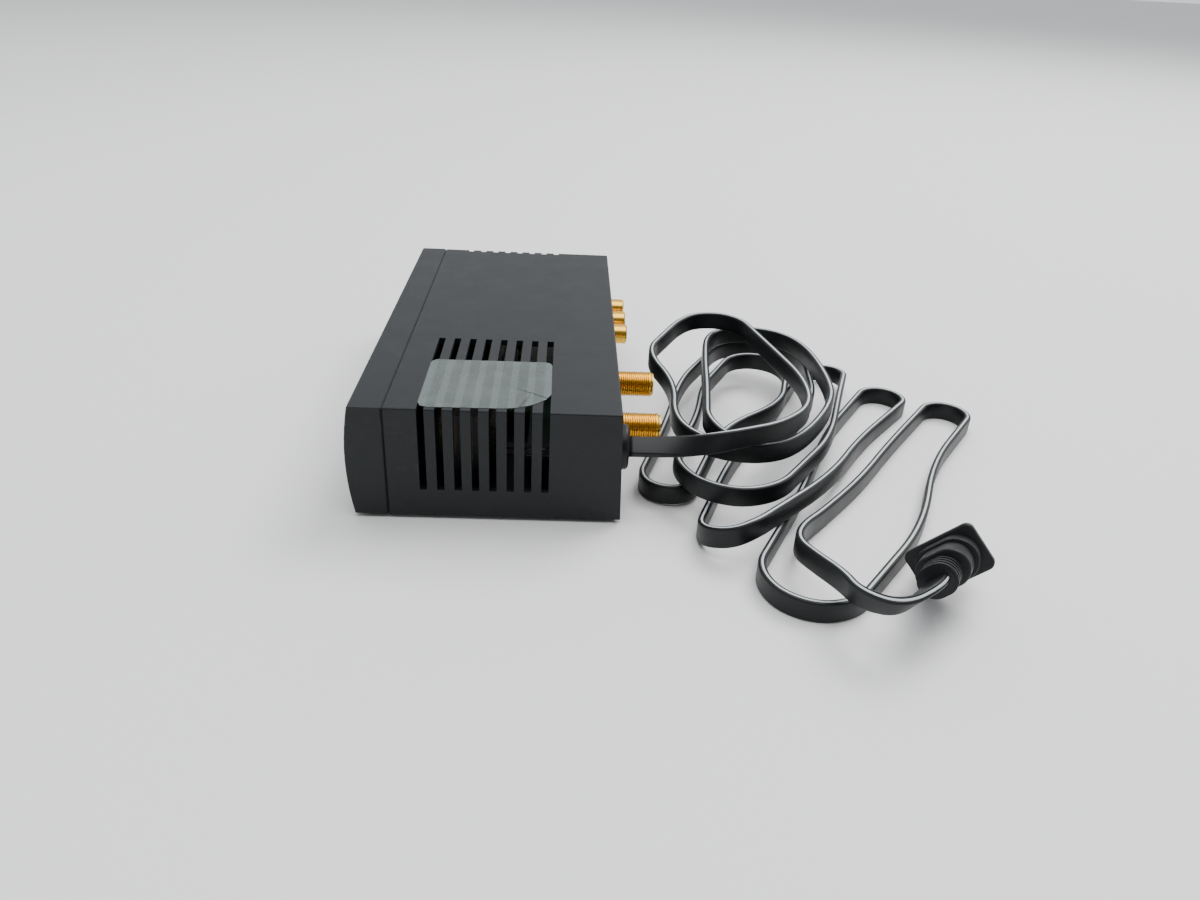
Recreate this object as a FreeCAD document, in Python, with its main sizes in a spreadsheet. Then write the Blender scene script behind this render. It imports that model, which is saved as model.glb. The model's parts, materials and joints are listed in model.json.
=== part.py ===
import FreeCAD, Part
import math
import os
import re
import Sketcher
from FreeCAD import Placement, Rotation, Vector

# Radio-frequency modulator: a flat plastic box with two threaded aerial sockets, three phono
# sockets, a channel switch and a flat mains cord that lies in loose loops behind it.
# Millimetres. The front is -Y, the sockets are at +Y, up is +Z and the box stands on z = 0.

# Driving dimensions
SIZES = {
    # Case
    "case_width": 169.0,
    "case_height": 39.6,
    "foot_height": 1.5,
    "wall": 2.2,
    "rear_face": 37.4,
    "rear_draft": 1.2,
    "seam_face": 39.2,
    "front_face": 52.2,
    "bezel_radius": 100.0,
    "bezel_axis_height": 20.7,
    "bezel_lip": 1.4,
    "bezel_lip_depth": 3.0,
    "edge_round": 0.6,
    "seam_groove": 0.5,
    "fit_gap": 0.15,
    # Vents
    "vent_count": 8,
    "vent_width": 2.4,
    "vent_pitch": 5.72,
    "vent_first": 27.1,
    "vent_floor": 11.4,
    "vent_reach": 59.0,
    "vent_notch": 2.4,
    # Feet
    "foot_radius": 5.0,
    "foot_inset_side": 14.0,
    "foot_front": 29.0,
    "foot_back": 27.0,
    # Cover posts and screws
    "post_inset": 5.3,
    "post_radius": 2.8,
    "post_front": 32.6,
    "post_back": 22.0,
    "post_bore_depth": 12.0,
    "screw_radius": 1.3,
    "screw_head_radius": 2.5,
    "screw_head_height": 1.2,
    "screw_head_side": 0.7,
    "screw_crown": 2.0,
    "cover_screw_length": 10.0,
    # Circuit board
    "board_height": 14.4,
    "board_thickness": 1.6,
    "board_left_inset": 10.5,
    "board_right_inset": 16.5,
    "board_notch_inset": 50.5,
    "board_step": 6.0,
    "board_front": 34.0,
    "board_back": 33.5,
    "boss_radius": 3.0,
    "boss_edge": 4.0,
    "board_screw_length": 8.0,
    # Sockets
    "socket_height": 25.0,
    "aerial_inset": 24.0,
    "aerial_pitch": 35.0,
    "aerial_radius": 4.7625,
    "aerial_neck": 4.4,
    "aerial_reach": 14.8,
    "aerial_bore": 2.9,
    "aerial_flange": 5.8,
    "aerial_flange_depth": 2.0,
    "aerial_tip": 1.1,
    "aerial_tip_radius": 4.2,
    "thread_pitch": 0.79375,
    "thread_depth": 0.42,
    "thread_crest": 0.16,
    "thread_count": 16,
    "contact_radius": 0.9,
    "contact_bore": 0.55,
    "contact_play": 0.05,
    "socket_recess": 1.0,
    "phono_inset": 59.5,
    "phono_pitch": 15.5,
    "phono_radius": 4.15,
    "phono_reach": 7.2,
    "phono_neck": 3.9,
    "phono_bore": 3.4,
    "phono_chamfer": 0.5,
    "phono_recess": 2.6,
    "phono_contact": 2.1,
    "phono_contact_bore": 1.65,
    "housing_margin": 7.2,
    "housing_depth": 15.0,
    "housing_height": 17.5,
    "sleeve_depth": 11.0,
    # Tin can of the modulator
    "can_margin": 6.0,
    "can_depth": 18.0,
    "can_height": 16.6,
    "can_wall": 0.6,
    "lid_skirt": 1.4,
    # Channel switch
    "switch_width": 14.0,
    "switch_depth": 8.0,
    "switch_height": 12.0,
    "knob_width": 4.0,
    "knob_height": 3.2,
    "knob_travel": 3.0,
    "knob_clearance": 0.4,
    "knob_seat": 3.6,
    "knob_proud": 0.5,
    "knob_rib": 0.4,
    # Mains entry
    "entry_inset": 10.0,
    "entry_height": 24.5,
    "relief_radius": 7.7,
    "relief_reach": 3.0,
    "relief_round": 1.2,
    "relief_neck": 5.2,
    "relief_collar": 6.2,
    "relief_collar_depth": 2.0,
    "relief_depth": 8.0,
    "lead_radius": 0.8,
    "lead_bend": 4.0,
    "lead_offset": 1.1,
    "lead_high": 1.5,
    "lead_low": 4.0,
    # Transformer
    "core_inset": 30.5,
    "core_along": 14.0,
    "core_width": 34.0,
    "core_height": 28.0,
    "core_stack": 14.0,
    "core_limb": 5.6,
    "core_leg": 10.0,
    "winding_overhang": 5.5,
    "winding_gap": 0.2,
    "bracket_thickness": 1.0,
    "bracket_foot": 7.0,
    "bracket_width": 9.8,
    "bracket_screw_length": 4.0,
    # Parts on the board
    "capacitor_radius": 6.5,
    "capacitor_room": 2.9,
    "capacitor_bead": 1.2,
    "capacitor_groove": 0.5,
    "capacitor_across": 4.0,
    "capacitor_along": 22.0,
    "capacitor_pitch": 16.0,
    "rectifier_side": 8.0,
    "rectifier_height": 6.0,
    "rectifier_inset": 10.0,
    "rectifier_along": 18.0,
    "sink_width": 18.0,
    "sink_height": 17.0,
    "sink_plate": 2.0,
    "sink_fin": 8.0,
    "sink_fin_thickness": 1.4,
    "sink_across": 46.0,
    "sink_along": 24.0,
    "regulator_width": 10.0,
    "regulator_depth": 4.4,
    "regulator_height": 9.0,
    "regulator_lift": 4.0,
    "chip_length": 20.0,
    "chip_width": 6.4,
    "chip_height": 3.4,
    "chip_lift": 0.6,
    "chip_leg": 0.5,
    "chip_leg_pitch": 2.54,
    "chip_legs": 7,
    "chip_across": 40.0,
    "chip_along": 4.0,
    "chip_spacing": 34.0,
    # Power lamp
    "lamp_across": 66.0,
    "lamp_height": 24.0,
    "lamp_radius": 1.5,
    "lamp_proud": 0.6,
    "lamp_crown": 1.05,
    "lamp_shoulder": 0.48,
    "lamp_flange": 2.1,
    "lamp_flange_depth": 1.0,
    "lamp_leg": 0.5,
    "lamp_leg_gap": 1.6,
    # Film over the vents
    "film_thickness": 0.12,
    # Cord and plug
    "cord_width": 7.2,
    "entry_run": 11.6,
    "plate_width": 23.0,
    "plate_height": 15.6,
    "plate_thickness": 2.5,
    "plate_round": 2.5,
    "plate_edge": 0.6,
    "pad_width": 19.6,
    "pad_height": 13.4,
    "pad_reach": 4.5,
    "pad_edge": 0.4,
    "step_width": 16.5,
    "step_height": 11.8,
    "step_reach": 12.2,
    "step_edge": 0.6,
    "boss_width": 9.8,
    "boss_height": 7.8,
    "boss_reach": 22.0,
    "rib_rise": 1.0,
    "rib_thickness": 1.0,
    "rib_pitch": 2.2,
    "rib_count": 4,
    "rib_first": 14.0,
    "blade_thickness": 1.5,
    "blade_width": 6.35,
    "blade_wide": 7.9,
    "blade_length": 17.0,
    "blade_spacing": 12.7,
    "blade_hole": 1.6,
    "blade_hole_edge": 4.0,
    "plug_across": 119.7,
    "plug_along": 136.5,
    "plug_height": 13.2,
    "plug_run": 6.0,
    "plug_turn": -31.4,
    "plug_tilt": 14.4,
    "plug_roll": 46.4,
}

# Places that several pieces share
FLOOR = "(foot_height + wall)"
CASE_TOP = "(foot_height + case_height)"
CEILING = "(foot_height + case_height - wall)"
INNER_SIDE = "(case_width / 2 - wall)"
PANEL_INNER = "(rear_face - wall)"
BOARD_TOP = "(board_height + board_thickness)"
CAN_BACK = "(rear_face - wall - aerial_flange_depth)"
POST_SIDE = "(case_width / 2 - post_inset)"
AERIAL_ONE = "(case_width / 2 - aerial_inset)"
AERIAL_TWO = "(case_width / 2 - aerial_inset - aerial_pitch)"
PHONO_FIRST = "(case_width / 2 - phono_inset)"
ENTRY_ACROSS = "(case_width / 2 - entry_inset)"
BOARD_LEFT = "(case_width / 2 - board_left_inset)"
BOARD_RIGHT = "(case_width / 2 - board_right_inset)"
BOARD_NOTCH = "(case_width / 2 - board_notch_inset)"
CORE_ACROSS = "(case_width / 2 - core_inset)"
RECTIFIER_ACROSS = "(" + BOARD_NOTCH + "- rectifier_inset)"
CAPACITOR_LENGTH = "(" + CEILING + "-" + BOARD_TOP + "- capacitor_room)"

# Points closer than this count as one
NEAR = 0.01

# Turns that lay a piece's own Z axis along another one
TO_REAR = Rotation(Vector(1, 0, 0), -90)
TO_FRONT = Rotation(Vector(1, 0, 0), 90)
TO_SIDE = Rotation(Vector(0, 1, 0), 90)
UPSIDE_DOWN = Rotation(Vector(1, 0, 0), 180)

doc = FreeCAD.newDocument("rf_modulator")
sheet = doc.addObject("Spreadsheet::Sheet", "dims")
for row, (alias, number) in enumerate(SIZES.items(), 1):
    sheet.set("A%d" % row, alias)
    sheet.set("B%d" % row, str(number))
    sheet.setAlias("B%d" % row, alias)
doc.recompute()

nodes = []


def formula(text):
    """The text with the sheet's name put before each alias."""
    return re.sub(r"[a-z_]+", lambda word: "dims." * (word.group() in SIZES) + word.group(), text)


def value(text):
    return float(sheet.evalExpression(formula(text)))


def place(thing, x="0", y="0", z="0", turn=None):
    """Binds the thing's place to the sheet."""
    if turn is not None:
        thing.Placement = Placement(Vector(), turn)
    for axis, text in zip("xyz", (x, y, z)):
        if text != "0":
            thing.setExpression("Placement.Base." + axis, formula(text))
    return thing


def keep(thing, label):
    """Registers a finished sub-part under its label."""
    thing.Label = label
    nodes.append(thing)
    return thing


# Sketches and the features made from them
def new_body(name):
    body = doc.addObject("PartDesign::Body", name)
    doc.recompute()
    return body


def origin_part(body, role):
    return [feature for feature in body.Origin.OriginFeatures if feature.Role == role][0]


def new_sketch(body, name, role, lift):
    sketch = body.newObject("Sketcher::SketchObject", body.Name + "_" + name)
    sketch.AttachmentSupport = [(origin_part(body, role), "")]
    sketch.MapMode = "FlatFace"
    if lift != "0":
        sketch.setExpression("AttachmentOffset.Base.z", formula(lift))
    return sketch


def pin_point(sketch, geometry, position, pair):
    """Holds a point at two formulas measured from the sketch's origin."""
    for kind, axis_line, text in (("DistanceX", -2, pair[0]), ("DistanceY", -1, pair[1])):
        if text == "0":
            sketch.addConstraint(Sketcher.Constraint("PointOnObject", geometry, position, axis_line))
        else:
            index = sketch.addConstraint(
                Sketcher.Constraint(kind, -1, 1, geometry, position, value(text)))
            sketch.setExpression("Constraints[%d]" % index, formula(text))


def add_polygon(sketch, points):
    first = sketch.GeometryCount
    corners = [Vector(value(a), value(b), 0) for a, b in points]
    count = len(corners)
    for i in range(count):
        sketch.addGeometry(Part.LineSegment(corners[i], corners[(i + 1) % count]), False)
    for i in range(count):
        sketch.addConstraint(
            Sketcher.Constraint("Coincident", first + i, 2, first + (i + 1) % count, 1))
    for i, pair in enumerate(points):
        pin_point(sketch, first + i, 1, pair)


def add_circle(sketch, centre, radius):
    index = sketch.GeometryCount
    middle = Vector(value(centre[0]), value(centre[1]), 0)
    sketch.addGeometry(Part.Circle(middle, Vector(0, 0, 1), value(radius)), False)
    pin_point(sketch, index, 3, centre)
    rule = sketch.addConstraint(Sketcher.Constraint("Radius", index, value(radius)))
    sketch.setExpression("Constraints[%d]" % rule, formula(radius))


def rectangle(x0, x1, y0, y1):
    return [(x0, y0), (x1, y0), (x1, y1), (x0, y1)]


def polygon(body, name, role, points, lift="0"):
    sketch = new_sketch(body, name, role, lift)
    add_polygon(sketch, points)
    return sketch


def circles(body, name, role, centres, radius, lift="0"):
    sketch = new_sketch(body, name, role, lift)
    for centre in centres:
        add_circle(sketch, centre, radius)
    return sketch


def pad(body, sketch, length, reverse=False, symmetric=False):
    feature = body.newObject("PartDesign::Pad", sketch.Name + "_pad")
    feature.Profile = sketch
    feature.Reversed = reverse
    if symmetric:
        feature.SideType = "Symmetric"
    feature.setExpression("Length", formula(length))
    doc.recompute()
    return feature


def pocket(body, sketch, length, reverse=False, symmetric=False):
    """Cuts a pocket, and stops where it removes nothing."""
    before = body.Shape.Volume
    feature = body.newObject("PartDesign::Pocket", sketch.Name + "_pocket")
    feature.Profile = sketch
    feature.Reversed = reverse
    if symmetric:
        feature.SideType = "Symmetric"
    feature.setExpression("Length", formula(length))
    doc.recompute()
    if body.Shape.Volume >= before:
        raise ValueError(sketch.Name + " cuts nothing")
    return feature


def row_of(body, originals, role, pitch, count):
    """Repeats features along one of the body's own axes."""
    feature = body.newObject("PartDesign::LinearPattern", originals[0].Name + "_row")
    feature.Originals = originals
    feature.Direction = (origin_part(body, role), [""])
    feature.Mode = "Spacing"
    feature.setExpression("Offset", formula(pitch))
    feature.setExpression("Occurrences", formula(count))
    body.Tip = feature
    doc.recompute()
    return feature


def edges_where(shape, test):
    """Names of the edges whose ends all pass the test."""
    found = []
    for index, edge in enumerate(shape.Edges, 1):
        if all(test(vertex.Point) for vertex in edge.Vertexes):
            found.append("Edge%d" % index)
    return found


def dress(body, kind, test, size):
    """Rounds (Fillet) or bevels (Chamfer) the chosen edges of a body."""
    base = body.Tip
    feature = body.newObject("PartDesign::" + kind, "%s_%s" % (base.Name, kind.lower()))
    feature.Base = (base, edges_where(base.Shape, test))
    feature.setExpression("Radius" if kind == "Fillet" else "Size", formula(size))
    doc.recompute()
    return feature


def turned(name, profile, x="0", y="0", z="0", turn=None):
    """A round piece: a profile of radius and height pairs, turned about its own Z axis."""
    body = new_body(name)
    sketch = polygon(body, "profile", "XZ_Plane", profile)
    feature = body.newObject("PartDesign::Revolution", name + "_turned")
    feature.Profile = sketch
    feature.ReferenceAxis = (sketch, ["V_Axis"])
    feature.Angle = 360
    place(body, x, y, z, turn)
    doc.recompute()
    return body


def tube_profile(outer, inner, start, end):
    return [(inner, start), (outer, start), (outer, end), (inner, end)]


# Plain solids and what is made from them
def box(name, x0, x1, y0, y1, z0, z1):
    solid = doc.addObject("Part::Box", name)
    solid.setExpression("Length", formula("(%s) - (%s)" % (x1, x0)))
    solid.setExpression("Width", formula("(%s) - (%s)" % (y1, y0)))
    solid.setExpression("Height", formula("(%s) - (%s)" % (z1, z0)))
    return place(solid, x0, y0, z0)


def cylinder(name, radius, length, x="0", y="0", z="0", turn=None):
    solid = doc.addObject("Part::Cylinder", name)
    solid.setExpression("Radius", formula(radius))
    solid.setExpression("Height", formula(length))
    return place(solid, x, y, z, turn)


def cut(name, base, tool):
    result = doc.addObject("Part::Cut", name)
    result.Base = base
    result.Tool = tool
    return result


def common(name, base, tool):
    result = doc.addObject("Part::Common", name)
    result.Base = base
    result.Tool = tool
    return result


def fuse(name, pieces):
    result = doc.addObject("Part::MultiFuse", name)
    result.Shapes = pieces
    return result


def soften(kind, name, base, test, size):
    """Rounds or bevels chosen edges of a plain solid."""
    doc.recompute()
    result = doc.addObject("Part::" + kind, name)
    result.Base = base
    amount = value(size)
    names = edges_where(base.Shape, test)
    result.Edges = [(int(edge[4:]), amount, amount) for edge in names]
    return result


# Case
def make_top_cover():
    """Roof and both side walls, with the vents and the four screw posts."""
    body = new_body("top_cover")
    seam = -value("seam_face")
    side = value("case_width / 2")
    top = value(CASE_TOP)
    side_view = [
        ("-seam_face", "foot_height"),
        ("rear_face + rear_draft", "foot_height"),
        ("rear_face", CASE_TOP),
        ("-seam_face", CASE_TOP),
    ]
    pad(body, polygon(body, "side", "YZ_Plane", side_view), "case_width", symmetric=True)
    dress(body, "Chamfer", lambda p: abs(p.y - seam) < NEAR, "seam_groove")
    groove = value("seam_groove")
    dress(body, "Fillet", lambda p: abs(abs(p.x) - side) < NEAR and abs(p.z - top) < NEAR
          and p.y > seam + groove / 2, "edge_round")
    inside = rectangle("-" + INNER_SIDE, INNER_SIDE, "foot_height - wall", CEILING)
    pocket(body, polygon(body, "inside", "XZ_Plane", inside), "4 * front_face", symmetric=True)
    posts = circles(body, "posts", "XY_Plane", post_places(), "post_radius", FLOOR)
    pad(body, posts, CEILING + "-" + FLOOR)
    bores = circles(body, "bores", "XY_Plane", post_places(), "screw_radius + fit_gap", FLOOR)
    pocket(body, bores, "post_bore_depth", reverse=True)
    over = "foot_height + case_height + wall"
    near = [
        ("case_width / 2 - wall - fit_gap", "vent_floor"),
        ("case_width / 2 + wall", "vent_floor"),
        ("case_width / 2 + wall", over),
        ("case_width / 2 - vent_reach", over),
        ("case_width / 2 - vent_reach", CEILING + "- fit_gap"),
        ("case_width / 2 - wall - fit_gap", CEILING + "- fit_gap"),
    ]
    far = rectangle("-case_width / 2 - wall", "-case_width / 2 + vent_notch", "vent_floor", over)
    start = "vent_first + vent_width / 2"
    near_vent = pocket(body, polygon(body, "near", "XZ_Plane", near, start), "vent_width")
    far_vent = pocket(body, polygon(body, "far", "XZ_Plane", far, start), "vent_width")
    row_of(body, [near_vent, far_vent], "Y_Axis", "vent_pitch", "vent_count")
    keep(body, "top_cover")


def board_holes():
    """Places of the board's four fixing holes."""
    left = "-" + BOARD_LEFT + "+ boss_edge"
    front = "-board_front + boss_edge"
    back = "board_back - boss_edge"
    return [
        (left, front),
        (BOARD_NOTCH + "- boss_edge", front),
        (left, back),
        (BOARD_RIGHT + "- boss_edge", "board_step + boss_edge"),
    ]


def post_places():
    return [(side + POST_SIDE, along) for side in ("-", "") for along in ("-post_front", "post_back")]


def bracket_holes():
    reach = "(core_width / 2 + bracket_thickness + bracket_foot / 2)"
    return [(CORE_ACROSS + "-" + reach, "-core_along"), (CORE_ACROSS + "+" + reach, "-core_along")]


def make_bottom_cover():
    """Floor plate between the side walls, with the bosses that carry the board."""
    body = new_body("bottom_cover")
    edge = INNER_SIDE + "- fit_gap"
    plate = rectangle("-" + INNER_SIDE + "+ fit_gap", edge, "-seam_face", "rear_face + rear_draft / 2")
    pad(body, polygon(body, "plate", "XY_Plane", plate, "foot_height"), "wall")
    bosses = circles(body, "bosses", "XY_Plane", board_holes(), "boss_radius", FLOOR)
    pad(body, bosses, "board_height - " + FLOOR)
    bores = circles(body, "bores", "XY_Plane", board_holes(), "screw_radius + fit_gap", "board_height")
    pocket(body, bores, "board_screw_length")
    holes = circles(body, "holes", "XY_Plane", post_places(), "screw_radius + fit_gap", "foot_height")
    pocket(body, holes, "wall", reverse=True)
    seats = circles(body, "seats", "XY_Plane", post_places(), "screw_head_radius + fit_gap", "foot_height")
    pocket(body, seats, "screw_head_height", reverse=True)
    bracket = circles(body, "bracket", "XY_Plane", bracket_holes(), "screw_radius + fit_gap", FLOOR)
    pocket(body, bracket, "wall")
    keep(body, "bottom_cover")


def make_front_bezel():
    """Front moulding with a curved face and a lip that slides into the covers."""
    wall = "(wall + fit_gap + bezel_lip)"
    half = "case_width / 2"
    block = box("bezel_block", "-" + half, half, "-front_face", "-seam_face", "foot_height", CASE_TOP)
    centre = "-front_face + bezel_radius"
    start = "-case_width / 2"
    curve = cylinder("bezel_curve", "bezel_radius", "case_width", start, centre, "bezel_axis_height", TO_SIDE)
    shell = common("bezel_shell", block, curve)
    seam = -value("seam_face")
    softened = soften("Fillet", "bezel_rounded", shell, lambda p: p.y < seam - 1, "edge_round")
    bevelled = soften("Chamfer", "bezel_bevelled", softened, lambda p: abs(p.y - seam) < NEAR, "seam_groove")
    lip_side = INNER_SIDE + "- fit_gap"
    lip = box("bezel_lip_block", "-" + INNER_SIDE + "+ fit_gap", lip_side,
              "-seam_face - wall", "-seam_face + bezel_lip_depth",
              FLOOR + "+ fit_gap", CEILING + "- fit_gap")
    solid = fuse("bezel_solid", [bevelled, lip])
    room = box("bezel_room", "-case_width / 2 + " + wall, "case_width / 2 - " + wall,
               "-front_face", "-seam_face + bezel_lip_depth + wall",
               "foot_height + " + wall, CASE_TOP + "-" + wall)
    hollow = cylinder("bezel_hollow", "bezel_radius - " + wall, "case_width", start, centre,
                      "bezel_axis_height", TO_SIDE)
    inside = common("bezel_inside", room, hollow)
    hole = cylinder("bezel_lamp_hole", "lamp_radius + fit_gap", "2 * " + wall, "-lamp_across",
                    "-front_face - wall", "lamp_height", TO_REAR)
    keep(cut("front_bezel", solid, fuse("bezel_voids", [inside, hole])), "front_bezel")


def make_rear_panel():
    """Socket panel between the covers."""
    body = new_body("rear_panel")
    plate = rectangle("-" + INNER_SIDE + "+ fit_gap", INNER_SIDE + "- fit_gap", FLOOR, CEILING + "- fit_gap")
    pad(body, polygon(body, "plate", "XZ_Plane", plate, "-rear_face"), "wall")
    aerials = [(AERIAL_ONE, "socket_height"), (AERIAL_TWO, "socket_height")]
    openings = (
        ("aerials", aerials, "aerial_radius + fit_gap"),
        ("phonos", phono_places(), "phono_neck + fit_gap / 2"),
        ("entry", [(ENTRY_ACROSS, "entry_height")], "relief_neck + fit_gap"),
    )
    for name, centres, radius in openings:
        pocket(body, circles(body, name, "XZ_Plane", centres, radius, "-rear_face"), "wall", reverse=True)
    half = "(knob_width / 2 + knob_travel / 2 + knob_clearance)"
    high = "(knob_height / 2 + knob_clearance)"
    slot = rectangle("-" + half, half, "socket_height - " + high, "socket_height + " + high)
    pocket(body, polygon(body, "slot", "XZ_Plane", slot, "-rear_face"), "wall", reverse=True)
    keep(body, "rear_panel")


def make_feet():
    side = "(case_width / 2 - foot_inset_side)"
    places = [(sign + side, along) for along in ("-foot_front", "foot_back") for sign in ("-", "")]
    for index, (x, y) in enumerate(places, 1):
        name = "rubber_foot_%d" % index
        profile = [("0", "0"), ("foot_radius - foot_height / 3", "0"), ("foot_radius", "foot_height / 3"),
                   ("foot_radius", "foot_height"), ("0", "foot_height")]
        keep(turned(name, profile, x, y), name)


def screw(name, length, x, y, z, turn=None):
    """A pan-head screw whose head ends at its own origin and whose shank runs down."""
    profile = [
        ("0", "screw_head_height"),
        ("0", "-" + length),
        ("screw_radius", "-" + length),
        ("screw_radius", "0"),
        ("screw_head_radius", "0"),
        ("screw_head_radius", "screw_head_side"),
        ("screw_crown", "screw_head_height"),
    ]
    keep(turned(name, profile, x, y, z, turn), name)


def make_screws():
    for index, (x, y) in enumerate(post_places(), 1):
        screw("cover_screw_%d" % index, "cover_screw_length", x, y,
              "foot_height + screw_head_height", UPSIDE_DOWN)
    for index, (x, y) in enumerate(board_holes(), 1):
        screw("board_screw_%d" % index, "board_screw_length", x, y, BOARD_TOP)
    for index, (x, y) in enumerate(bracket_holes(), 1):
        screw("bracket_screw_%d" % index, "bracket_screw_length", x, y, FLOOR + "+ bracket_thickness")


# Board and what stands on it
def make_board():
    body = new_body("circuit_board")
    outline = [
        ("-" + BOARD_LEFT, "-board_front"),
        (BOARD_NOTCH, "-board_front"),
        (BOARD_NOTCH, "board_step"),
        (BOARD_RIGHT, "board_step"),
        (BOARD_RIGHT, "board_back"),
        ("-" + BOARD_LEFT, "board_back"),
    ]
    pad(body, polygon(body, "outline", "XY_Plane", outline), "board_thickness")
    holes = circles(body, "holes", "XY_Plane", board_holes(), "screw_radius + fit_gap")
    pocket(body, holes, "board_thickness", reverse=True)
    place(body, z="board_height")
    keep(body, "circuit_board")


def make_can():
    """Tin can that the aerial sockets are fixed to, and its lid."""
    x0, x1 = "(" + AERIAL_TWO + "- can_margin)", "(" + AERIAL_ONE + "+ can_margin)"
    y0, y1 = "(" + CAN_BACK + "- can_depth)", CAN_BACK
    z0, z1 = BOARD_TOP, "(" + BOARD_TOP + "+ can_height)"
    outer = box("can_outer", x0, x1, y0, y1, z0, z1)
    room = box("can_room", x0 + "+ can_wall", x1 + "- can_wall", y0 + "+ can_wall", y1 + "- can_wall",
               z0 + "+ can_wall", z1 + "+ can_wall")
    keep(cut("modulator_can", outer, room), "modulator_can")
    grow = "(fit_gap + can_wall)"
    cap = box("lid_cap", x0 + "-" + grow, x1 + "+" + grow, y0 + "-" + grow, y1 + "+" + grow,
              z1 + "- lid_skirt", z1 + "+ can_wall")
    gap = box("lid_room", x0 + "- fit_gap", x1 + "+ fit_gap", y0 + "- fit_gap", y1 + "+ fit_gap",
              z1 + "- lid_skirt - wall", z1)
    keep(cut("modulator_lid", cap, gap), "modulator_lid")


def make_aerial_sockets():
    """Two threaded coaxial sockets, each a barrel, its insulator and its centre contact."""
    for label, across in (("antenna_in", AERIAL_ONE), ("tv_out", AERIAL_TWO)):
        flange = "(wall + aerial_flange_depth)"
        end = "(wall + aerial_flange_depth + aerial_reach)"
        place_at = (across, CAN_BACK, "socket_height", TO_REAR)
        profile = [
            ("aerial_bore", "0"),
            ("aerial_flange", "0"),
            ("aerial_flange", "aerial_flange_depth"),
            ("aerial_neck", "aerial_flange_depth"),
            ("aerial_neck", flange),
            ("aerial_radius", flange),
            ("aerial_radius", end + "- aerial_tip"),
            ("aerial_tip_radius", end + "- aerial_tip / 2"),
            ("aerial_tip_radius", end),
            ("aerial_bore", end),
        ]
        body = turned(label + "_barrel", profile, *place_at)
        half = "(thread_pitch - thread_crest) / 2"
        first = "(" + end + "- aerial_tip - thread_pitch)"
        notch = [
            ("aerial_radius - thread_depth", first),
            ("aerial_radius + thread_depth", first + "-" + half + "* 2"),
            ("aerial_radius + thread_depth", first + "+" + half + "* 2"),
        ]
        sketch = polygon(body, "notch", "XZ_Plane", notch)
        groove = body.newObject("PartDesign::Groove", label + "_groove")
        groove.Profile = sketch
        groove.ReferenceAxis = (sketch, ["V_Axis"])
        groove.Angle = 360
        doc.recompute()
        row = row_of(body, [groove], "Z_Axis", "thread_pitch", "thread_count")
        row.Reversed = True
        doc.recompute()
        keep(body, label + "_barrel")
        core = tube_profile("aerial_bore", "contact_radius + contact_play", "0", end + "- socket_recess")
        keep(turned(label + "_insulator", core, *place_at), label + "_insulator")
        contact = tube_profile("contact_radius", "contact_bore", "0", end + "- 2 * socket_recess")
        keep(turned(label + "_contact", contact, *place_at), label + "_contact")


def phono_places():
    return [("-" + PHONO_FIRST + "- %d * phono_pitch" % index, "socket_height") for index in range(3)]


def make_phono_sockets():
    """Three phono sockets in one housing."""
    low = "(" + PHONO_FIRST + "- housing_margin)"
    high = "(" + PHONO_FIRST + "+ 2 * phono_pitch + housing_margin)"
    block = box("housing_block", "-" + high, "-" + low, PANEL_INNER + "- housing_depth", PANEL_INNER,
                BOARD_TOP, BOARD_TOP + "+ housing_height")
    bores = []
    labels = ("video_in", "audio_left_in", "audio_right_in")
    start = "(" + PANEL_INNER + "- sleeve_depth)"
    end = "(sleeve_depth + wall + phono_reach)"
    for label, (x, z) in zip(labels, phono_places()):
        place_at = (x, start, z, TO_REAR)
        bores.append(cylinder(label + "_seat", "phono_neck + fit_gap / 2", "sleeve_depth + wall", *place_at))
        sleeve = [
            ("phono_bore", "0"),
            ("phono_neck", "0"),
            ("phono_neck", "sleeve_depth + wall"),
            ("phono_radius", "sleeve_depth + wall"),
            ("phono_radius", end + "- phono_chamfer"),
            ("phono_radius - phono_chamfer", end),
            ("phono_bore", end),
        ]
        keep(turned(label + "_sleeve", sleeve, *place_at), label + "_sleeve")
        core = tube_profile("phono_bore", "phono_contact", "0", end + "- phono_recess")
        keep(turned(label + "_insulator", core, *place_at), label + "_insulator")
        contact = tube_profile("phono_contact", "phono_contact_bore", "0", end + "- phono_recess")
        keep(turned(label + "_contact", contact, *place_at), label + "_contact")
    keep(cut("jack_housing", block, fuse("housing_bores", bores)), "jack_housing")


def make_channel_switch():
    """Slide switch: its body on the board and the knob that shows in the panel's slot."""
    half = "switch_width / 2"
    body = box("switch_block", "-" + half, half, PANEL_INNER + "- switch_depth", PANEL_INNER,
               BOARD_TOP, BOARD_TOP + "+ switch_height")
    wide = "(knob_width / 2 + knob_travel / 2 + knob_clearance)"
    high = "(knob_height / 2 + knob_clearance)"
    window = box("switch_window", "-" + wide, wide, PANEL_INNER + "- knob_seat", PANEL_INNER + "+ wall",
                 "socket_height - " + high, "socket_height + " + high)
    keep(cut("channel_switch_body", body, window), "channel_switch_body")
    knob = new_body("channel_switch_knob")
    across = rectangle("-knob_width / 2", "knob_width / 2", "-knob_height / 2", "knob_height / 2")
    length = "(knob_seat - knob_clearance / 2 + wall + knob_proud)"
    pad(knob, polygon(knob, "block", "XY_Plane", across), length)
    for name, middle in (("left", "-knob_width / 4"), ("right", "knob_width / 4")):
        side = rectangle(middle + "- knob_rib / 2", middle + "+ knob_rib / 2", "-knob_height", "knob_height")
        pocket(knob, polygon(knob, name, "XY_Plane", side, length), "knob_rib")
    place(knob, "-knob_travel / 2", PANEL_INNER + "- knob_seat + knob_clearance / 2", "socket_height",
          TO_REAR)
    keep(knob, "channel_switch_knob")


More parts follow.
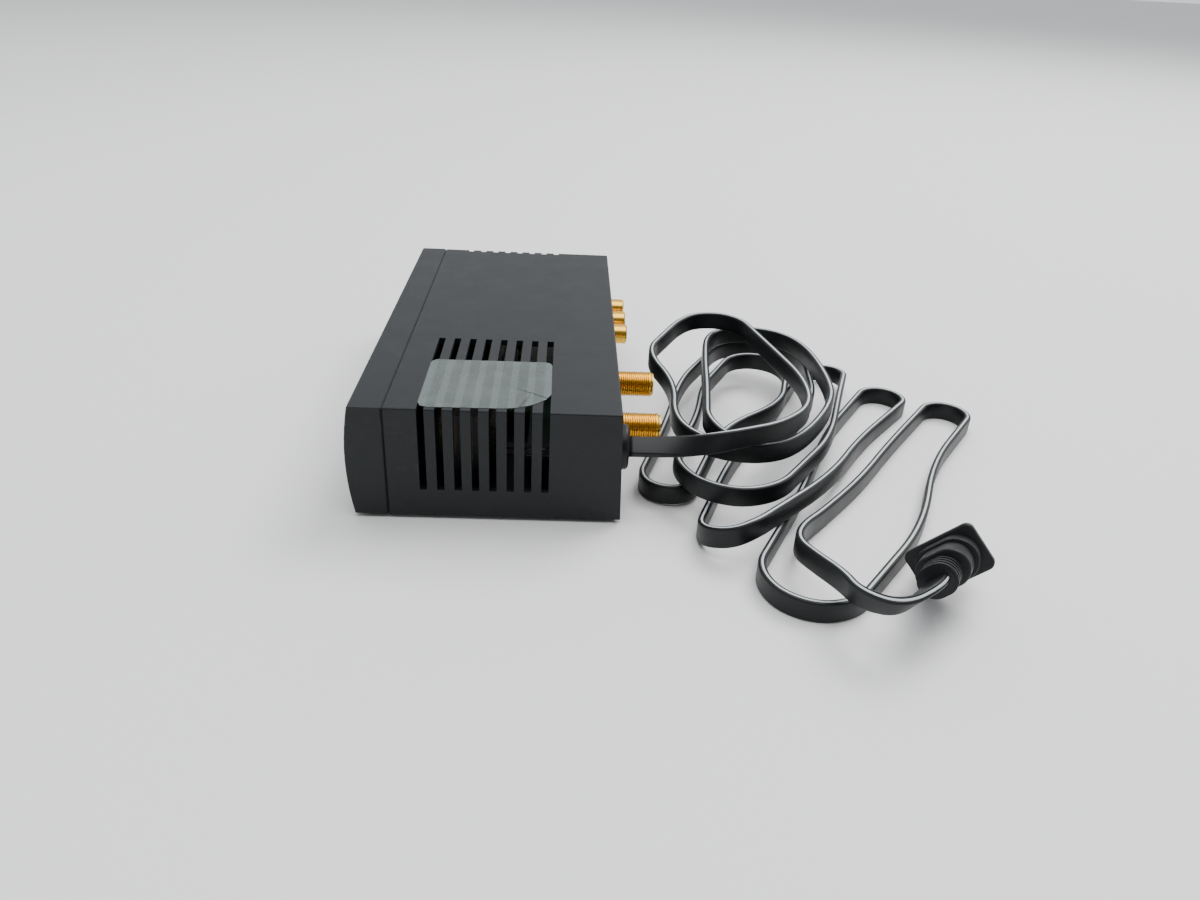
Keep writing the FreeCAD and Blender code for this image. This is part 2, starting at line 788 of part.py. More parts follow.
def make_transformer():
    """Laminated core, its winding and the strap that holds it to the floor plate."""
    core = new_body("transformer_core")
    pad(core, polygon(core, "plate", "XZ_Plane",
                      rectangle("-core_width / 2", "core_width / 2", "0", "core_height")),
        "core_stack", symmetric=True)
    for name, sign in (("left", "-"), ("right", "")):
        window = rectangle(sign + "core_leg / 2", sign + "(core_width / 2 - core_limb)",
                           "core_limb", "core_height - core_limb")
        pocket(core, polygon(core, name, "XZ_Plane", window), "2 * core_stack", symmetric=True)
    place(core, CORE_ACROSS, "-core_along", FLOOR)
    keep(core, "transformer_core")
    winding = new_body("transformer_winding")
    outer = "(core_width / 2 - core_limb - winding_gap)"
    inner = "(core_leg / 2 + winding_gap)"
    deep = "(core_stack / 2 + winding_overhang)"
    height = "(core_height - 2 * core_limb - 2 * winding_gap)"
    section = rectangle("-" + outer, outer, "-" + deep, deep)
    pad(winding, polygon(winding, "outside", "XY_Plane", section), height)
    corner = value(outer) - NEAR
    dress(winding, "Fillet", lambda p: abs(p.x) > corner, "winding_overhang / 2")
    leg = rectangle("-" + inner, inner, "-core_stack / 2 - winding_gap", "core_stack / 2 + winding_gap")
    pocket(winding, polygon(winding, "leg", "XY_Plane", leg), height, reverse=True)
    place(winding, CORE_ACROSS, "-core_along", FLOOR + "+ core_limb + winding_gap")
    keep(winding, "transformer_winding")
    strap = new_body("transformer_bracket")
    inside, outside = "core_width / 2", "(core_width / 2 + bracket_thickness)"
    foot = "(core_width / 2 + bracket_thickness + bracket_foot)"
    bend = [
        ("-" + foot, "0"), ("-" + inside, "0"), ("-" + inside, "core_height"), (inside, "core_height"),
        (inside, "0"), (foot, "0"), (foot, "bracket_thickness"), (outside, "bracket_thickness"),
        (outside, "core_height + bracket_thickness"), ("-" + outside, "core_height + bracket_thickness"),
        ("-" + outside, "bracket_thickness"), ("-" + foot, "bracket_thickness"),
    ]
    pad(strap, polygon(strap, "bend", "XZ_Plane", bend), "bracket_width", symmetric=True)
    reach = "(core_width / 2 + bracket_thickness + bracket_foot / 2)"
    holes = circles(strap, "holes", "XY_Plane", [("-" + reach, "0"), (reach, "0")], "screw_radius + fit_gap")
    pocket(strap, holes, "bracket_thickness", reverse=True)
    place(strap, CORE_ACROSS, "-core_along", FLOOR)
    keep(strap, "transformer_bracket")


def make_board_parts():
    """Reservoir capacitors, rectifier, regulator with its heat sink, and two chips."""
    for index in range(2):
        name = "filter_capacitor_%d" % (index + 1)
        across = "capacitor_across - %d * capacitor_pitch" % index
        profile = [
            ("0", "0"), ("capacitor_radius", "0"),
            ("capacitor_radius", CAPACITOR_LENGTH + "- 2 * capacitor_bead"),
            ("capacitor_radius - capacitor_groove", CAPACITOR_LENGTH + "- 3 * capacitor_bead / 2"),
            ("capacitor_radius", CAPACITOR_LENGTH + "- capacitor_bead"),
            ("capacitor_radius - capacitor_groove", CAPACITOR_LENGTH), ("0", CAPACITOR_LENGTH),
        ]
        keep(turned(name, profile, across, "-capacitor_along", BOARD_TOP), name)
    side = "rectifier_side / 2"
    keep(box("bridge_rectifier", RECTIFIER_ACROSS + "-" + side, RECTIFIER_ACROSS + "+" + side,
             "-rectifier_along - " + side, "-rectifier_along + " + side,
             BOARD_TOP, BOARD_TOP + "+ rectifier_height"), "bridge_rectifier")
    sink = new_body("heat_sink")
    half, fin = "sink_width / 2", "(sink_plate + sink_fin)"
    thick = "sink_fin_thickness"
    comb = [
        ("-" + half, "0"), (half, "0"), (half, fin), (half + "-" + thick, fin),
        (half + "-" + thick, "sink_plate"), (thick + "/ 2", "sink_plate"), (thick + "/ 2", fin),
        ("-" + thick + "/ 2", fin), ("-" + thick + "/ 2", "sink_plate"),
        ("-" + half + "+" + thick, "sink_plate"), ("-" + half + "+" + thick, fin), ("-" + half, fin),
    ]
    pad(sink, polygon(sink, "comb", "XY_Plane", comb), "sink_height")
    place(sink, "-sink_across", "-sink_along", BOARD_TOP)
    keep(sink, "heat_sink")
    wide = "regulator_width / 2"
    front = "-sink_along - regulator_depth"
    package = box("regulator_package", "-sink_across - " + wide, "-sink_across + " + wide,
                  front, "-sink_along",
                  BOARD_TOP + "+ regulator_lift", BOARD_TOP + "+ regulator_lift + regulator_height")
    legs = [package]
    for index in (-1, 0, 1):
        middle = "(-sink_across + %d * chip_leg_pitch)" % index
        legs.append(box("regulator_leg_%d" % (index + 2),
                        middle + "- chip_leg / 2", middle + "+ chip_leg / 2",
                        front + "+ chip_leg", front + "+ 2 * chip_leg",
                        BOARD_TOP, BOARD_TOP + "+ regulator_lift + chip_leg"))
    keep(fuse("voltage_regulator", legs), "voltage_regulator")
    for index in range(2):
        make_chip("signal_chip_%d" % (index + 1), "-chip_across + %d * chip_spacing" % index)


def make_chip(name, across):
    """Dual in-line chip on two rows of legs."""
    body = new_body(name)
    block = rectangle("-chip_length / 2", "chip_length / 2", "-chip_width / 2", "chip_width / 2")
    pad(body, polygon(body, "block", "XY_Plane", block, "chip_lift"), "chip_height")
    first = "(-chip_leg_pitch * (chip_legs - 1) / 2)"
    legs = new_sketch(body, "legs", "XY_Plane", "0")
    for inner, outer in (("chip_width / 2", "chip_width / 2 + chip_leg"),
                         ("-chip_width / 2 - chip_leg", "-chip_width / 2")):
        add_polygon(legs, rectangle(first + "- chip_leg", first + "+ chip_leg", inner, outer))
    pins = pad(body, legs, "chip_lift + chip_height / 2")
    row_of(body, [pins], "X_Axis", "chip_leg_pitch", "chip_legs")
    place(body, across, "-chip_along", BOARD_TOP)
    keep(body, name)


def make_power_lamp():
    """Small round lamp in the bezel, on two bent legs from the board."""
    seat = "(-front_face + wall + fit_gap + bezel_lip)"
    dome = [
        ("0", "-lamp_flange_depth"), ("lamp_flange", "-lamp_flange_depth"), ("lamp_flange", "0"),
        ("lamp_radius", "0"), ("lamp_radius", "wall + fit_gap + bezel_lip"),
        ("lamp_crown", "wall + fit_gap + bezel_lip + lamp_shoulder"),
        ("0", "wall + fit_gap + bezel_lip + lamp_proud"),
    ]
    bulb = turned("lamp_bulb", dome, "-lamp_across", seat + "+ seam_groove", "lamp_height", TO_FRONT)
    pieces = [bulb]
    for index, sign in enumerate(("-", "+"), 1):
        middle = "-lamp_across %s lamp_leg_gap / 2" % sign
        x0, x1 = middle + "- lamp_leg / 2", middle + "+ lamp_leg / 2"
        back = "-board_front + boss_edge"
        pieces.append(box("lamp_leg_%d" % index, x0, x1, seat, back + "+ lamp_leg",
                          "lamp_height - lamp_leg / 2", "lamp_height + lamp_leg / 2"))
        pieces.append(box("lamp_drop_%d" % index, x0, x1, back, back + "+ lamp_leg",
                          BOARD_TOP, "lamp_height + lamp_leg / 2"))
    keep(fuse("power_lamp", pieces), "power_lamp")


# The film's outline: how far each corner lies in from the case's side, and along Y
FILM_OUTLINE = [
    (39.1, -26.6),
    (37.7, -28.1),
    (35.5, -28.4),
    (5.1, -28.4),
    (2.6, -27.4),
    (1.7, -25.2),
    (2.2, -0.5),
    (3.2, 4.0),
    (5.9, 9.0),
    (9.7, 12.6),
    (13.5, 14.2),
    (37.1, 14.0),
    (38.8, 13.2),
    (39.4, 11.6),
]


def make_vent_film():
    """Thin clear film stuck over the near vents, its rear corner cut slantwise."""
    body = new_body("vent_film")
    outline = [("case_width / 2 - %.1f" % inset, "%.1f" % along) for inset, along in FILM_OUTLINE]
    pad(body, polygon(body, "outline", "XY_Plane", outline), "film_thickness")
    place(body, z=CASE_TOP)
    keep(body, "vent_film")


# Mains entry
def make_strain_relief():
    """Round grommet that grips the cord: a flange outside, a neck in the panel, a collar inside."""
    body = turned("strain_relief", [
        ("0", "0"),
        ("relief_neck", "0"),
        ("relief_neck", "relief_depth - relief_collar_depth - wall"),
        ("relief_collar", "relief_depth - relief_collar_depth - wall"),
        ("relief_collar", "relief_depth - wall"),
        ("relief_neck", "relief_depth - wall"),
        ("relief_neck", "relief_depth"),
        ("relief_radius", "relief_depth"),
        ("relief_radius", "relief_depth + relief_reach"),
        ("0", "relief_depth + relief_reach"),
    ], ENTRY_ACROSS, "rear_face - relief_depth", "entry_height", TO_REAR)
    rim = value("relief_depth + relief_reach")
    dress(body, "Fillet", lambda p: abs(p.z - rim) < NEAR and abs(p.x) > NEAR, "relief_round")
    keep(body, "strain_relief")


# Routes: straight runs joined by tangent arcs
# Share of a run that one rounded corner may take
CORNER_SHARE = 0.45
# Longest leg of a rounded corner, as a multiple of its shorter leg
LEG_RATIO = 2.0
# Spacing of the points on which gaps are measured, and how many cord widths apart along the
# route two of them must lie
SPACING = 2.0
APART = 4.0


def arc_from(start, tangent, end):
    """Arc that leaves start along the tangent and reaches end."""
    chord = end - start
    along = chord.dot(tangent)
    across = chord - tangent * along
    if across.Length < 1e-6:
        return Part.LineSegment(start, end), float("inf")
    radius = chord.Length ** 2 / (2 * across.Length)
    centre = start + across.normalize() * radius
    middle = centre + ((start - centre) + (end - centre)).normalize() * radius
    if along < 0:
        middle = centre - (middle - centre)
    return Part.Arc(start, middle, end), radius


def unit(vector):
    return Vector(vector).normalize()


def rounded_route(points, largest=None):
    """Edges of a route whose inner points are rounded as far as their runs allow."""
    edges = []
    radii = []
    here = points[0]
    for before, point, after in zip(points, points[1:], points[2:]):
        tangent_in, tangent_out = unit(point - before), unit(after - point)
        half_turn = tangent_in.getAngle(tangent_out) / 2
        radius = CORNER_SHARE * min((point - before).Length, (after - point).Length) / math.tan(half_turn)
        if largest is not None:
            radius = min(radius, largest)
        reach = radius * math.tan(half_turn)
        start, end = point - tangent_in * reach, point + tangent_out * reach
        edges.append(Part.LineSegment(here, start).toShape())
        edges.append(arc_from(start, tangent_in, end)[0].toShape())
        radii.append(radius)
        here = end
    edges.append(Part.LineSegment(here, points[-1]).toShape())
    return edges, radii


def biarc(start, corner, end):
    """Two arcs from start to end, tangent there to the legs of the corner and to each other."""
    leave, arrive = unit(corner - start), unit(end - corner)
    span = end - start
    both = leave + arrive
    a = both.dot(both) - 4
    b = -2 * span.dot(both)
    c = span.dot(span)
    if abs(a) < 1e-9:
        reach = -c / b
    else:
        reach = (-b - math.sqrt(b * b - 4 * a * c)) / (2 * a)
    first, second = start + leave * reach, end - arrive * reach
    joint = (first + second) * 0.5
    one, radius_one = arc_from(start, leave, joint)
    two, radius_two = arc_from(joint, unit(second - first), end)
    return [one.toShape(), two.toShape()], [radius_one, radius_two]


def straight(start, end):
    """A straight edge, or nothing where the ends meet."""
    if (end - start).Length < NEAR:
        return []
    return [Part.LineSegment(start, end).toShape()]


def tube(edges, radius):
    """Round tube swept along the edges."""
    spine = Part.Wire(edges)
    start = spine.Edges[0].valueAt(spine.Edges[0].FirstParameter)
    tangent = spine.Edges[0].tangentAt(spine.Edges[0].FirstParameter)
    ring = Part.Wire([Part.Circle(start, tangent, radius).toShape()])
    shape = spine.makePipeShell([ring], True, False)
    solid = shape if shape.ShapeType == "Solid" else shape.Solids[0]
    expected = math.pi * radius ** 2 * spine.Length
    print("  length %.1f, volume over section times length %.4f" % (spine.Length, solid.Volume / expected))
    return solid


def keep_shape(label, shape):
    """A sub-part whose shape is worked out here."""
    feature = doc.addObject("Part::Feature", label)
    feature.Shape = shape
    feature.Placement = Placement()
    keep(feature, label)


def make_mains_leads():
    """Two insulated wires from the grommet to the winding."""
    x = value(ENTRY_ACROSS + "- lead_offset")
    winding_side = value(CORE_ACROSS + "+ core_width / 2 - core_limb - winding_gap")
    along = value("-core_along + core_stack / 2 + winding_overhang / 2")
    start = value("rear_face - relief_depth")
    for label, drop in (("mains_lead_live", "lead_high"), ("mains_lead_neutral", "lead_low")):
        z = value("entry_height - " + drop)
        route = [Vector(x, start, z), Vector(x, along, z), Vector(winding_side, along, z)]
        print(label)
        edges, radii = rounded_route(route, value("lead_bend"))
        keep_shape(label, tube(edges, value("lead_radius")))


# The cord: x and y in millimetres, height of its centre in the third column.
# Straight out of the grommet, then over all the loops.
LEAD = [
    (73, 66, 25.0),
    (71, 80, 27.4),
    (66, 94, 28.0),
    (52, 107, 28.2),
    (30, 109, 28.6),
    (4, 103, 28.6),
]
# Each bend of the loops: x, y, half width, then the height in cord layers at the bend's start
# and end and at the two points of the side that follows, and that side's two bulges as shares
# of its length.
BENDS = [
    (-23, 81, 14, 3.20, 3.05, 2.60, 2.14, 0.20, 0.00),
    (44, 83, 24, 2.14, 2.00, 2.00, 2.00, 0.17, 0.14),
    (-22, 100, 22, 2.00, 2.00, 2.10, 2.10, 0.00, 0.00),
    (44, 84, 12, 2.05, 1.20, 1.10, 1.00, 0.10, 0.12),
    (-27, 103, 20, 1.00, 1.00, 0.80, 0.30, 0.06, 0.02),
    (62, 57.6, 10, 0.00, 0.15, 1.00, 1.05, -0.04, 0.10),
    (-19, 101, 13, 1.00, 1.00, 1.00, 1.12, 0.05, 0.00),
    (65, 78.5, 19.3, 1.14, 1.06, 1.06, 1.10, 0.08, 0.04),
    (-27, 132, 10, 0.40, 0.00, 0.00, 0.00, 0.00, 0.03),
    (94.5, 75, 10, 0.00, 1.15, 0.75, 0.00, 0.036, -0.015),
    (-8, 154.8, 9.2, 0.00, 0.00, 0.00, 0.00, 0.03, 0.00),
    (117.5, 97, 16, 0.00, 0.00, 0.00, 0.00, 0.042, -0.02),
    (5, 178, 9.1, 0.00, 0.00, 0.00, 0.00, 0.00, 0.00),
]
# From the last loop it bends back over the loop before and into the plug.
TAIL = [
    (33.5, 145.5, 3.65),
    (60, 127.5, 3.65),
    (84, 107.5, 4.1),
    (96, 97.6, 6.3),
    (108.5, 92.8, 9.0),
    (119.5, 96.5, 11.0),
    (130.5, 101, 13.0),
    (141.5, 103, 15.0),
    (149.5, 111.5, 17.8),
]
# Height of one cord layer above another, and of the lowest above the ground
LAYER = 7.8
FLOOR_LAYER = 3.65
EIGHTH = math.radians(22.5)


def loop_points():
    """Route of the loops: four points round each bend and two on the side that follows it."""
    centres = [Vector(bend[0], bend[1], 0) for bend in BENDS]
    outward = []
    for index, centre in enumerate(centres):
        near = centres[max(index - 1, 0):index] + centres[index + 1:index + 2]
        middle = sum(near, Vector()) * (1 / len(near))
        outward.append(unit(centre - middle))
    across = [Vector(-direction.y, direction.x, 0) for direction in outward]
    points = []
    for index, bend in enumerate(BENDS):
        x, y, half, start, end, level_one, level_two, bulge_one, bulge_two = bend
        radius = half / math.cos(EIGHTH)
        for step, turn in enumerate((-3, -1, 1, 3)):
            point = centres[index] + outward[index] * (radius * math.cos(turn * EIGHTH))
            point += across[index] * (radius * math.sin(turn * EIGHTH))
            point.z = FLOOR_LAYER + LAYER * (start + (end - start) * step / 3)
            points.append(point)
        if index + 1 == len(BENDS):
            break
        leave = centres[index] + across[index] * half
        arrive = centres[index + 1] - across[index + 1] * BENDS[index + 1][2]
        run = arrive - leave
        side = Vector(run.y, -run.x, 0)
        for share, bulge, level in ((1 / 3, bulge_one, level_one), (2 / 3, bulge_two, level_two)):
            point = leave + run * share + side * bulge
            point.z = FLOOR_LAYER + LAYER * level
            points.append(point)
    return points


def sample(edges, spacing):
    points = []
    for edge in edges:
        points += edge.discretize(max(int(edge.Length / spacing) + 1, 2))
    return points


def least_gap(points, width, apart):
    """Least distance between stretches of one route, less the cord's width."""
    runs = [0.0]
    for one, two in zip(points, points[1:]):
        runs.append(runs[-1] + (two - one).Length)
    least = float("inf")
    for i, one in enumerate(points):
        for j in range(i + 1, len(points)):
            if runs[j] - runs[i] > apart:
                least = min(least, (points[j] - one).Length)
    return least - width


def make_cord():
    """Lead, loops and tail of the cord, each one unbroken tube."""
    width = value("cord_width")
    entry = Vector(value(ENTRY_ACROSS), value("rear_face + relief_reach"), value("entry_height"))
    axis = plug_rotation().multVec(Vector(0, 0, 1))
    plug_end = plug_centre() + axis * value("boss_reach")
    loops = loop_points()
    lead = [entry, entry + Vector(0, value("entry_run"), 0)] + [Vector(*point) for point in LEAD]
    tail = [Vector(*point) for point in TAIL] + [plug_end + axis * value("plug_run"), plug_end]
    first_joint = (lead[-1] + loops[0]) * 0.5
    last_joint = (loops[-1] + tail[0]) * 0.5
    print("power_cord_lead")
    lead_edges, radii = rounded_route(lead + [first_joint])
    print("  radii", ["%.1f" % radius for radius in radii])
    keep_shape("power_cord_lead", tube(lead_edges, width / 2))
    print("power_cord_coil")
    straight_in = first_joint + unit(loops[0] - lead[-1]) * width
    straight_out = last_joint - unit(tail[0] - loops[-1]) * width
    middles = [(one + two) * 0.5 for one, two in zip(loops, loops[1:])]
    starts = [straight_in] + middles
    ends = middles + [straight_out]
    edges = [Part.LineSegment(first_joint, straight_in).toShape()]
    radii = []
    for start, corner, end in zip(starts, loops, ends):
        shorter = min((corner - start).Length, (end - corner).Length)
        bend_start = corner - unit(corner - start) * min((corner - start).Length, LEG_RATIO * shorter)
        bend_end = corner + unit(end - corner) * min((end - corner).Length, LEG_RATIO * shorter)
        pair, pair_radii = biarc(bend_start, corner, bend_end)
        edges += straight(start, bend_start) + pair + straight(bend_end, end)
        radii += pair_radii
    edges.append(Part.LineSegment(straight_out, last_joint).toShape())
    print("  tightest radius %.1f" % min(radii))
    keep_shape("power_cord_coil", tube(edges, width / 2))
    print("power_cord_tail")
    tail_edges, radii = rounded_route([last_joint] + tail)
    print("  radii", ["%.1f" % radius for radius in radii])
    keep_shape("power_cord_tail", tube(tail_edges, width / 2))
    whole = sample(lead_edges + edges + tail_edges, SPACING)
    loop_gap = least_gap(sample(edges, SPACING), width, APART * width)
    print("  least gap of the loops to themselves %.2f" % loop_gap)
    print("  least gap of the whole cord to itself %.2f" % least_gap(whole, width, APART * width))
    print("  lowest point %.2f" % (min(point.z for point in whole) - width / 2))


# Plug
def plug_centre():
    """Middle of the plate's face on the cord's side."""
    return Vector(value("plug_across"), value("plug_along"), value("plug_height"))


def plug_rotation():
    """Turn that lays the plug's own Z axis along the cord and its X axis along the plate."""
    turn = Rotation(Vector(0, 0, 1), value("plug_turn"))
    turn = turn.multiply(Rotation(Vector(0, 1, 0), value("-plug_tilt")))
    turn = turn.multiply(Rotation(Vector(1, 1, 1), 120))
    return turn.multiply(Rotation(Vector(0, 0, 1), value("plug_roll")))


def rounded_slab(body, name, width, height, lift, length):
    """Adds a slab with half-round ends along its own X axis."""
    sketch = new_sketch(body, name, "XY_Plane", lift)
    reach, radius = value("(%s - %s) / 2" % (width, height)), value("%s / 2" % height)
    up, down = Vector(0, radius, 0), Vector(0, -radius, 0)
    right, left = Vector(reach, 0, 0), Vector(-reach, 0, 0)
    sketch.addGeometry(Part.LineSegment(left + down, right + down), False)
    circle = Part.Circle(right, Vector(0, 0, 1), radius)
    sketch.addGeometry(Part.ArcOfCircle(circle, -math.pi / 2, math.pi / 2), False)
    sketch.addGeometry(Part.LineSegment(right + up, left + up), False)
    circle = Part.Circle(left, Vector(0, 0, 1), radius)
    sketch.addGeometry(Part.ArcOfCircle(circle, math.pi / 2, 3 * math.pi / 2), False)
    joints = ((0, 2, 1, 1), (1, 2, 2, 1), (2, 2, 3, 1), (3, 2, 0, 1))
    for first, first_end, second, second_end in joints:
        sketch.addConstraint(Sketcher.Constraint("Tangent", first, first_end, second, second_end))
    sketch.addConstraint(Sketcher.Constraint("PointOnObject", 1, 3, -1))
    sketch.addConstraint(Sketcher.Constraint("Symmetric", 1, 3, 3, 3, -1, 1))
    wide = sketch.addConstraint(Sketcher.Constraint("DistanceX", -1, 1, 1, 3, reach))
    sketch.setExpression("Constraints[%d]" % wide, formula("(%s - %s) / 2" % (width, height)))
    tall = sketch.addConstraint(Sketcher.Constraint("Radius", 1, radius))
    sketch.setExpression("Constraints[%d]" % tall, formula("%s / 2" % height))
    return pad(body, sketch, length)


def make_plug():
    """Moulded two-blade plug: plate with a low pad, oval body, ribbed boss and two flat blades."""
    turn = plug_rotation()
    body = new_body("plug_body")
    plate = rectangle("-plate_width / 2", "plate_width / 2", "-plate_height / 2", "plate_height / 2")
    pad(body, polygon(body, "plate", "XY_Plane", plate), "plate_thickness", reverse=True)
    base = body.Tip
    upright = [
        "Edge%d" % index for index, edge in enumerate(base.Shape.Edges, 1)
        if abs(edge.Vertexes[0].Point.z - edge.Vertexes[-1].Point.z) > NEAR
    ]
    corners = body.newObject("PartDesign::Fillet", "plug_corners")
    corners.Base = (base, upright)
    corners.setExpression("Radius", formula("plate_round"))
    doc.recompute()
    for level in (0, -value("plate_thickness")):
        dress(body, "Fillet", lambda p: abs(p.z - level) < NEAR, "plate_edge")
    for name in ("pad", "step"):
        rounded_slab(body, name, name + "_width", name + "_height", "-plate_thickness / 2",
                     name + "_reach + plate_thickness / 2")
        top = value(name + "_reach")
        dress(body, "Fillet", lambda p: abs(p.z - top) < NEAR, name + "_edge")
    rounded_slab(body, "boss", "boss_width", "boss_height", "0", "boss_reach")
    rib = rounded_slab(body, "rib", "(boss_width + 2 * rib_rise)", "(boss_height + 2 * rib_rise)",
                       "rib_first", "rib_thickness")
    row_of(body, [rib], "Z_Axis", "rib_pitch", "rib_count")
    body.Placement = Placement(plug_centre(), turn)
    keep(body, "plug_body")
    blades = (("plug_blade_wide", -1, "blade_wide"), ("plug_blade_narrow", 1, "blade_width"))
    for label, side, width in blades:
        blade = new_body(label)
        half = width + " / 2"
        flat = rectangle("-" + half, half, "-plate_thickness - blade_length", "-plate_thickness")
        pad(blade, polygon(blade, "flat", "YZ_Plane", flat), "blade_thickness", symmetric=True)
        middle = ("0", "-plate_thickness - blade_length + blade_hole_edge")
        hole = circles(blade, "hole", "YZ_Plane", [middle], "blade_hole")
        pocket(blade, hole, "2 * blade_thickness", symmetric=True)
        offset = turn.multVec(Vector(side * value("blade_spacing / 2"), 0, 0))
        blade.Placement = Placement(plug_centre() + offset, turn)
        keep(blade, label)


make_top_cover()
make_bottom_cover()
make_front_bezel()
make_rear_panel()
make_feet()
make_screws()
make_board()
make_can()
make_aerial_sockets()
make_phono_sockets()
make_channel_switch()
make_transformer()
make_board_parts()
make_power_lamp()
make_vent_film()
make_strain_relief()
make_mains_leads()
make_cord()
make_plug()
doc.recompute()

for thing in doc.Objects:
    if "Invalid" in thing.State or "Error" in thing.State:
        raise ValueError("%s is in state %s" % (thing.Label, thing.State))
for thing in nodes:
    if thing.Shape.isNull() or not thing.Shape.isValid():
        raise ValueError(thing.Label + " has no valid shape")
os.makedirs("parts", exist_ok=True)
for thing in nodes:
    thing.Shape.exportStep("parts/%s.step" % thing.Label)
    print("%-24s solids %d, volume %.1f" % (thing.Label, len(thing.Shape.Solids), thing.Shape.Volume))
print(len(nodes), "sub-parts")
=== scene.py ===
import json
import math
import bmesh
import bpy
from mathutils import Matrix, Vector


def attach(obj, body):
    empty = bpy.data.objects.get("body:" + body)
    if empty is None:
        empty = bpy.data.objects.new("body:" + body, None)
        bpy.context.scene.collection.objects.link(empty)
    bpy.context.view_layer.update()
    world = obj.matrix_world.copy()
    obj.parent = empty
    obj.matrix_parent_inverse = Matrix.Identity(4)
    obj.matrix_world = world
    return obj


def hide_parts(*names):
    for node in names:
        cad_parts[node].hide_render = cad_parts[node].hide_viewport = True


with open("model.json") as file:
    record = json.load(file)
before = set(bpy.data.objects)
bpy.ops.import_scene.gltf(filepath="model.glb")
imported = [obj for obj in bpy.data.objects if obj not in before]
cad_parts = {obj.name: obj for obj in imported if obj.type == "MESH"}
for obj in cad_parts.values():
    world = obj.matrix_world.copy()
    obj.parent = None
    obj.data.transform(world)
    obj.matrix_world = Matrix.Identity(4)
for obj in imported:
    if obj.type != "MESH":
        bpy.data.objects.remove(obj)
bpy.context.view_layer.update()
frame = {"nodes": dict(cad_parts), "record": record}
nodes = frame["nodes"]
scene = bpy.context.scene
collection = scene.collection

# Camera: where the photograph was taken from
CAMERA_PLACE = Vector((0.34414, 0.01737, 0.17289))
CAMERA_RIGHT = Vector((0.02380, 0.99856, 0.04804))
CAMERA_UP = Vector((-0.48731, -0.03037, 0.87270))
SENSOR = 36.0
LENS = 27.507

# Cord, in metres: where it starts, its way to the loops, the loops' bends and its way to the plug.
# A bend is its centre, its half width, its height in layers at its start and end and at the two
# points of the side that follows, and that side's two bulges as shares of its length.
CORD_START = (0.0745, 0.0404, 0.0245)
LEAD = [
    (0.0745, 0.052, 0.0245),
    (0.073, 0.066, 0.025),
    (0.071, 0.08, 0.0274),
    (0.066, 0.094, 0.028),
    (0.052, 0.107, 0.0282),
    (0.03, 0.109, 0.0286),
    (0.004, 0.103, 0.0286),
]
BENDS = [
    (-0.023, 0.081, 0.014, 3.2, 3.05, 2.6, 2.14, 0.2, 0),
    (0.044, 0.083, 0.024, 2.14, 2.0, 2.0, 2.0, 0.17, 0.14),
    (-0.022, 0.1, 0.022, 2.0, 2.0, 2.1, 2.1, 0, 0),
    (0.044, 0.084, 0.012, 2.05, 1.2, 1.1, 1.0, 0.1, 0.12),
    (-0.027, 0.103, 0.02, 1.0, 1.0, 0.8, 0.3, 0.06, 0.02),
    (0.062, 0.0576, 0.01, 0, 0.15, 1.0, 1.05, -0.04, 0.1),
    (-0.019, 0.101, 0.013, 1.0, 1.0, 1.0, 1.12, 0.05, 0),
    (0.065, 0.0785, 0.0193, 1.14, 1.06, 1.06, 1.1, 0.08, 0.04),
    (-0.027, 0.132, 0.01, 0.4, 0, 0, 0, 0, 0.03),
    (0.0945, 0.075, 0.01, 0, 1.15, 0.75, 0, 0.036, -0.015),
    (-0.008, 0.1548, 0.0092, 0, 0, 0, 0, 0.03, 0),
    (0.1175, 0.097, 0.016, 0, 0, 0, 0, 0.042, -0.02),
    (0.005, 0.178, 0.0091, 0, 0, 0, 0, 0, 0),
]
TAIL = [
    (0.0335, 0.1455, 0.00365),
    (0.06, 0.1275, 0.00365),
    (0.084, 0.1075, 0.0041),
    (0.096, 0.0976, 0.0063),
    (0.1085, 0.0928, 0.009),
    (0.1195, 0.0965, 0.011),
    (0.1305, 0.101, 0.013),
    (0.1415, 0.103, 0.015),
    (0.1495, 0.1115, 0.0178),
]
# Height of one cord layer above another, and of the lowest one's middle above the ground
LAYER = 0.0078
FLOOR_LAYER = 0.00365
# Half of the turn between two of a bend's points, and each point's turn in such halves
BEND_STEP = math.radians(22.5)
BEND_TURNS = (-3, -1, 1, 3)
# A leg beside a bend that is over this many times as long as the bend's own gets a point that
# keeps the bend round
LONG_RUN = 2.0
CORD_WIDTH = 0.0072
CORD_THICKNESS = 0.0026
# The cord's four rounded edges: their radius, and each one's points and degrees between them
CORD_ROUND = 0.0007
EDGE_POINTS = 5
EDGE_STEP = 22.5
# The stripe's width, the groove on each side of it, and the outline's faces that it takes
STRIPE_WIDTH = 0.0007
STRIPE_GROOVE = 0.00012
STRIPE_FACES = (0, 1)
# Points read from each piece of the curve, and the least distance between two of them
CORD_STEPS = 12
LEAST_STEP = 0.0002
# The cord starts nearly flat, turns on edge over the twist's length and turns again at the plug
FLAT_TURN = math.radians(-60)
FLAT_LENGTH = 0.006
TWIST_LENGTH = 0.034
PLUG_TWIST = math.radians(43.6)
PLUG_TWIST_LENGTH = 0.045

# Plug: middle of its plate on the cord's side, the way that its cord points, the reach of its
# boss and the cord's straight run behind it
PLUG_CENTRE = Vector((0.1197, 0.1365, 0.0132))
PLUG_TURN = math.radians(-31.4)
PLUG_TILT = math.radians(14.4)
BOSS_REACH = 0.022
PLUG_RUN = 0.006

